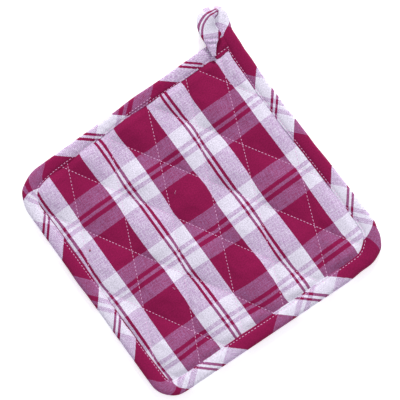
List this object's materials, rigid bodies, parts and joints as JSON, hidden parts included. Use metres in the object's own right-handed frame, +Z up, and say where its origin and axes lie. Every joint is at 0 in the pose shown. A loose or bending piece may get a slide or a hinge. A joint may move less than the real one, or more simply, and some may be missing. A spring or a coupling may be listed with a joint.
{
  "type": "pot holder",
  "caption": "Square quilted cloth pad in woven plaid with a bias-bound edge, three rounded corners and a twisted hanging loop at the fourth.",
  "frame": {"origin": "on the table, under the middle of the pad", "axes": "+Z up out of the face, +Y along the warp stripes, +X across them, the loop at the +X +Y corner"},
  "size_m": [0.205, 0.2257, 0.014],
  "materials": {
    "plaid_cotton": "matte woven cotton, burgundy, white and lilac plaid",
    "bias_plaid_cotton": "matte woven cotton plaid cut on the bias",
    "loop_plaid_cotton": "matte woven cotton plaid, folded on the bias"
  },
  "bodies": {
    "root": {"quilted_pad": "plaid_cotton", "edge_binding": "bias_plaid_cotton", "hanging_loop": "loop_plaid_cotton"}
  },
  "joints": []
}
